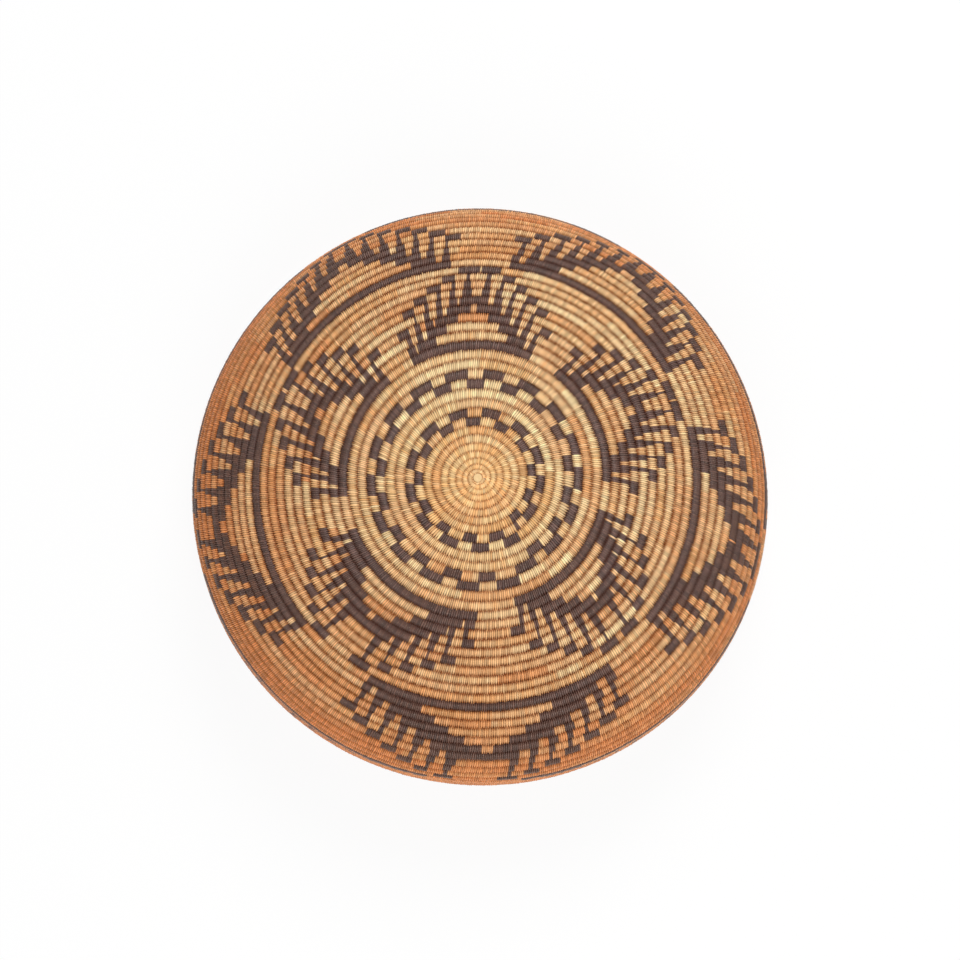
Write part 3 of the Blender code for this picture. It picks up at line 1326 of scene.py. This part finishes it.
@dataclass(frozen=True)
class Studio:
    """A plain white floor, soft lamps and the camera above the basket's base."""

    base_height: float = 0.1735
    distance: float = 1.472
    lens: float = 75.0
    sensor_width: float = 36.0
    clip: tuple[float, float] = (0.05, 100.0)
    tilt: float = math.radians(6.04)
    lean: float = math.radians(-0.84)
    slide: tuple[float, float] = (0.0023, -0.0027)
    sky: float = 0.3
    floor_side: float = 30.0
    floor_drop: float = 0.0002
    paper: str = "#f6f6f6"
    white: str = "#ffffff"
    white_share: float = 0.9
    lamps: tuple[Lamp, ...] = (
        Lamp("key_lamp", (0.4, 1.7, 1.9), 1.2, 43.0),
        Lamp("fill_lamp", (0.1, -1.7, 1.6), 1.5, 31.0),
    )

    def camera(self) -> None:
        """Make the camera at the photograph's viewing angle."""
        forward = Vector((math.sin(self.lean), math.sin(self.tilt) * math.cos(self.lean),
                          -math.cos(self.tilt) * math.cos(self.lean)))
        up = Vector((0.0, math.cos(self.tilt), math.sin(self.tilt)))
        up = (up - forward * up.dot(forward)).normalized()
        right = forward.cross(up)
        place = Vector((0.0, 0.0, self.base_height)) - forward * self.distance
        place += right * self.slide[0] + up * self.slide[1]
        data = bpy.data.cameras.new("camera")
        data.lens, data.sensor_width = self.lens, self.sensor_width
        data.clip_start, data.clip_end = self.clip
        camera = add_object("camera", data)
        turn = Matrix((right, up, -forward)).transposed()
        camera.matrix_world = Matrix.Translation(place) @ turn.to_4x4()
        bpy.context.scene.camera = camera
        log.info("camera: lens %.0f mm, %.3f m from the base", self.lens, self.distance)

    def light(self) -> None:
        """Make the even sky and the soft lamps."""
        world = bpy.data.worlds.new("studio_sky")
        bpy.context.scene.world = world
        tree = empty_tree(world)
        sky = add_node(tree, "ShaderNodeBackground", {0: linear(self.white), 1: self.sky})
        white = add_node(tree, "ShaderNodeBackground", {0: linear(self.white), 1: 1.0})
        mix = add_node(tree, "ShaderNodeMixShader",
                       {0: seen_rays(tree), 1: sky.outputs[0], 2: white.outputs[0]})
        add_node(tree, "ShaderNodeOutputWorld", {"Surface": mix.outputs[0]})
        for lamp in self.lamps:
            data = bpy.data.lights.new(lamp.name, "AREA")
            data.shape, data.size, data.energy = "SQUARE", lamp.side, lamp.power
            item = add_object(lamp.name, data)
            item.location = lamp.place
            item.rotation_mode = "QUATERNION"
            item.rotation_quaternion = (-Vector(lamp.place)).to_track_quat("-Z", "Y")
            log.info("%s: %.0f W", lamp.name, lamp.power)

    def floor(self) -> None:
        """Make the white floor, which keeps a faint shadow of the basket."""
        half = 0.5 * self.floor_side
        mesh = bpy.data.meshes.new("floor")
        mesh.from_pydata([(x * half, y * half, -self.floor_drop)
                          for x, y in ((-1, -1), (1, -1), (1, 1), (-1, 1))], [], [(0, 1, 2, 3)])
        # Matt white paper: the eye sees plain white, with a faint soft shadow on it
        material = bpy.data.materials.new("white_paper_floor")
        tree = empty_tree(material)
        paper = add_node(tree, "ShaderNodeBsdfDiffuse", {0: linear(self.paper)})
        white = add_node(tree, "ShaderNodeEmission", {0: linear(self.white), 1: 1.0})
        shown = add_node(tree, "ShaderNodeMixShader",
                         {0: self.white_share, 1: paper.outputs[0], 2: white.outputs[0]})
        mix = add_node(tree, "ShaderNodeMixShader",
                       {0: seen_rays(tree), 1: paper.outputs[0], 2: shown.outputs[0]})
        add_node(tree, "ShaderNodeOutputMaterial", {"Surface": mix.outputs[0]})
        mesh.materials.append(material)
        floor = add_object("floor", mesh)
        log.info("floor: %.0f m square", self.floor_side)

    def build(self) -> None:
        """Set the view transform and make the camera, lamps and floor."""
        bpy.context.scene.view_settings.view_transform = "Standard"
        self.camera()
        self.light()
        self.floor()


def main() -> None:
    """Build the studio and the basket, in order."""
    logging.basicConfig(level=logging.INFO, format="%(message)s")
    Studio().build()
    Basket().build()


if __name__ == "__main__":
    main()
